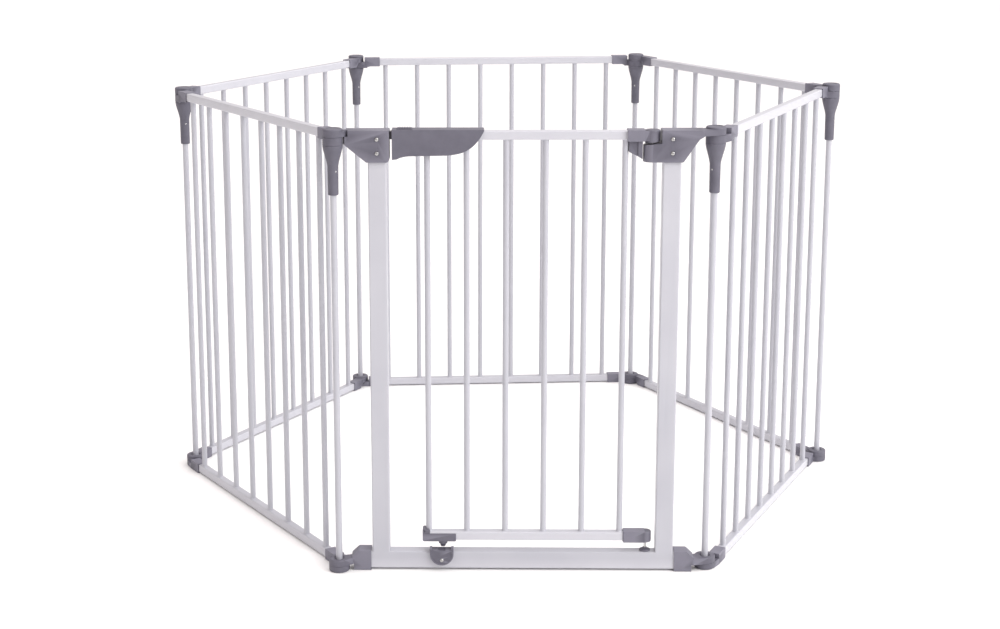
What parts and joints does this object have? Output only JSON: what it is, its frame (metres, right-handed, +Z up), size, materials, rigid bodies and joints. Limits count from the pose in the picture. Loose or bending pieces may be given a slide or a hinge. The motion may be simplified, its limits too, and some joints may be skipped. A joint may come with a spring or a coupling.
{
  "type": "folding playpen",
  "caption": "Freestanding six-sided metal playpen of barred fence panels hinged at corner poles, with a gate in one side that lifts to unlatch and swings both ways.",
  "frame": {"origin": "middle of the footprint, on the floor", "axes": "+X to the right seen from outside the gate, +Y from the gate to the back, +Z up"},
  "size_m": [1.2748, 1.1184, 0.756],
  "materials": {
    "white_paint": "powder coated satin",
    "grey_plastic": "fine textured satin",
    "dark_plastic": "satin",
    "bright_steel": "zinc plated"
  },
  "bodies": {
    "gate": {"gate_frame": "white_paint", "gate_bracket_top_left": "grey_plastic", "gate_bracket_top_right": "grey_plastic", "gate_shoe_left": "grey_plastic", "gate_shoe_right": "grey_plastic", "bracket_screw_left_1": "bright_steel", "bracket_screw_left_2": "bright_steel", "bracket_screw_right_1": "bright_steel", "bracket_screw_right_2": "bright_steel", "latch_keeper": "grey_plastic", "keeper_screw": "bright_steel", "pivot_cup": "dark_plastic", "pole_front_left": "white_paint", "pole_front_right": "white_paint"},
    "door_pins": {"pivot_pin": "bright_steel", "hinge_pin": "bright_steel"},
    "door": {"door_panel": "white_paint", "door_handle": "grey_plastic", "door_hinge_cap": "grey_plastic", "hinge_guard": "grey_plastic", "door_pivot_cap": "grey_plastic", "door_latch_cap": "grey_plastic", "latch_plunger": "dark_plastic"},
    "door_lock": {"lock_slide": "grey_plastic", "latch_bolt": "dark_plastic"},
    "front_left_panel": {"front_left_fence": "white_paint", "front_left_cap_top_start": "grey_plastic", "front_left_cap_top_end": "grey_plastic", "front_left_cap_bottom_start": "grey_plastic", "front_left_cap_bottom_end": "grey_plastic"},
    "front_right_panel": {"front_right_fence": "white_paint", "front_right_cap_top_start": "grey_plastic", "front_right_cap_top_end": "grey_plastic", "front_right_cap_bottom_start": "grey_plastic", "front_right_cap_bottom_end": "grey_plastic"},
    "back_left_panel": {"back_left_fence": "white_paint", "back_left_cap_top_start": "grey_plastic", "back_left_cap_top_end": "grey_plastic", "back_left_cap_bottom_start": "grey_plastic", "back_left_cap_bottom_end": "grey_plastic", "pole_left": "white_paint", "pole_back_left": "white_paint"},
    "back_right_panel": {"back_right_fence": "white_paint", "back_right_cap_top_start": "grey_plastic", "back_right_cap_top_end": "grey_plastic", "back_right_cap_bottom_start": "grey_plastic", "back_right_cap_bottom_end": "grey_plastic", "pole_right": "white_paint", "pole_back_right": "white_paint"},
    "back_panel": {"back_fence": "white_paint", "back_cap_top_start": "grey_plastic", "back_cap_top_end": "grey_plastic", "back_cap_bottom_start": "grey_plastic", "back_cap_bottom_end": "grey_plastic"},
    "sleeve_front_right": {"lock_sleeve_front_right": "grey_plastic"},
    "sleeve_right": {"lock_sleeve_right": "grey_plastic"},
    "sleeve_back_right": {"lock_sleeve_back_right": "grey_plastic"},
    "sleeve_back_left": {"lock_sleeve_back_left": "grey_plastic"},
    "sleeve_left": {"lock_sleeve_left": "grey_plastic"},
    "sleeve_front_left": {"lock_sleeve_front_left": "grey_plastic"}
  },
  "joints": [
    {"name": "fold_front_left", "type": "hinge", "parent": "gate", "child": "front_left_panel", "pos_m": [-0.31, -0.53382, 0.378], "axis": [0, 0, 1], "range_deg": [-10, 105]},
    {"name": "fold_front_right", "type": "hinge", "parent": "gate", "child": "front_right_panel", "pos_m": [0.31, -0.53382, 0.378], "axis": [0, 0, 1], "range_deg": [-10, 105]},
    {"name": "fold_left", "type": "hinge", "parent": "front_left_panel", "child": "back_left_panel", "pos_m": [-0.62, 0.00311, 0.378], "axis": [0, 0, 1], "range_deg": [-105, 10]},
    {"name": "fold_right", "type": "hinge", "parent": "front_right_panel", "child": "back_right_panel", "pos_m": [0.62, 0.00311, 0.378], "axis": [0, 0, 1], "range_deg": [-105, 10]},
    {"name": "fold_back_left", "type": "hinge", "parent": "back_left_panel", "child": "back_panel", "pos_m": [-0.31, 0.54005, 0.378], "axis": [0, 0, 1], "range_deg": [-10, 105]},
    {"name": "door_lift", "type": "slide", "parent": "gate", "child": "door_pins", "axis": [0, 0, 1], "range_m": [0, 0.008]},
    {"name": "door_swing", "type": "hinge", "parent": "door_pins", "child": "door", "pos_m": [0.20688, -0.54084, 0.4], "axis": [0, 0, 1], "range_deg": [-90, 90]},
    {"name": "door_lock_slide", "type": "slide", "parent": "door", "child": "door_lock", "axis": [0.9994, -0.0339, 0], "range_m": [0, 0.008], "stiffness_N_per_m": 200, "springref_m": -0.003},
    {"name": "sleeve_slide_front_right", "type": "slide", "parent": "gate", "child": "sleeve_front_right", "axis": [0, 0, -1], "range_m": [0, 0.012], "stiffness_N_per_m": 400, "springref_m": -0.004},
    {"name": "sleeve_slide_right", "type": "slide", "parent": "back_right_panel", "child": "sleeve_right", "axis": [0, 0, -1], "range_m": [0, 0.012], "stiffness_N_per_m": 400, "springref_m": -0.004},
    {"name": "sleeve_slide_back_right", "type": "slide", "parent": "back_right_panel", "child": "sleeve_back_right", "axis": [0, 0, -1], "range_m": [0, 0.012], "stiffness_N_per_m": 400, "springref_m": -0.004},
    {"name": "sleeve_slide_back_left", "type": "slide", "parent": "back_left_panel", "child": "sleeve_back_left", "axis": [0, 0, -1], "range_m": [0, 0.012], "stiffness_N_per_m": 400, "springref_m": -0.004},
    {"name": "sleeve_slide_left", "type": "slide", "parent": "back_left_panel", "child": "sleeve_left", "axis": [0, 0, -1], "range_m": [0, 0.012], "stiffness_N_per_m": 400, "springref_m": -0.004},
    {"name": "sleeve_slide_front_left", "type": "slide", "parent": "gate", "child": "sleeve_front_left", "axis": [0, 0, -1], "range_m": [0, 0.012], "stiffness_N_per_m": 400, "springref_m": -0.004}
  ],
  "couplings": [
    {"joint": "fold_front_right", "follows": "fold_front_left", "ratio": 1},
    {"joint": "fold_left", "follows": "fold_front_left", "ratio": -1},
    {"joint": "fold_right", "follows": "fold_front_left", "ratio": -1},
    {"joint": "fold_back_left", "follows": "fold_front_left", "ratio": 1}
  ]
}
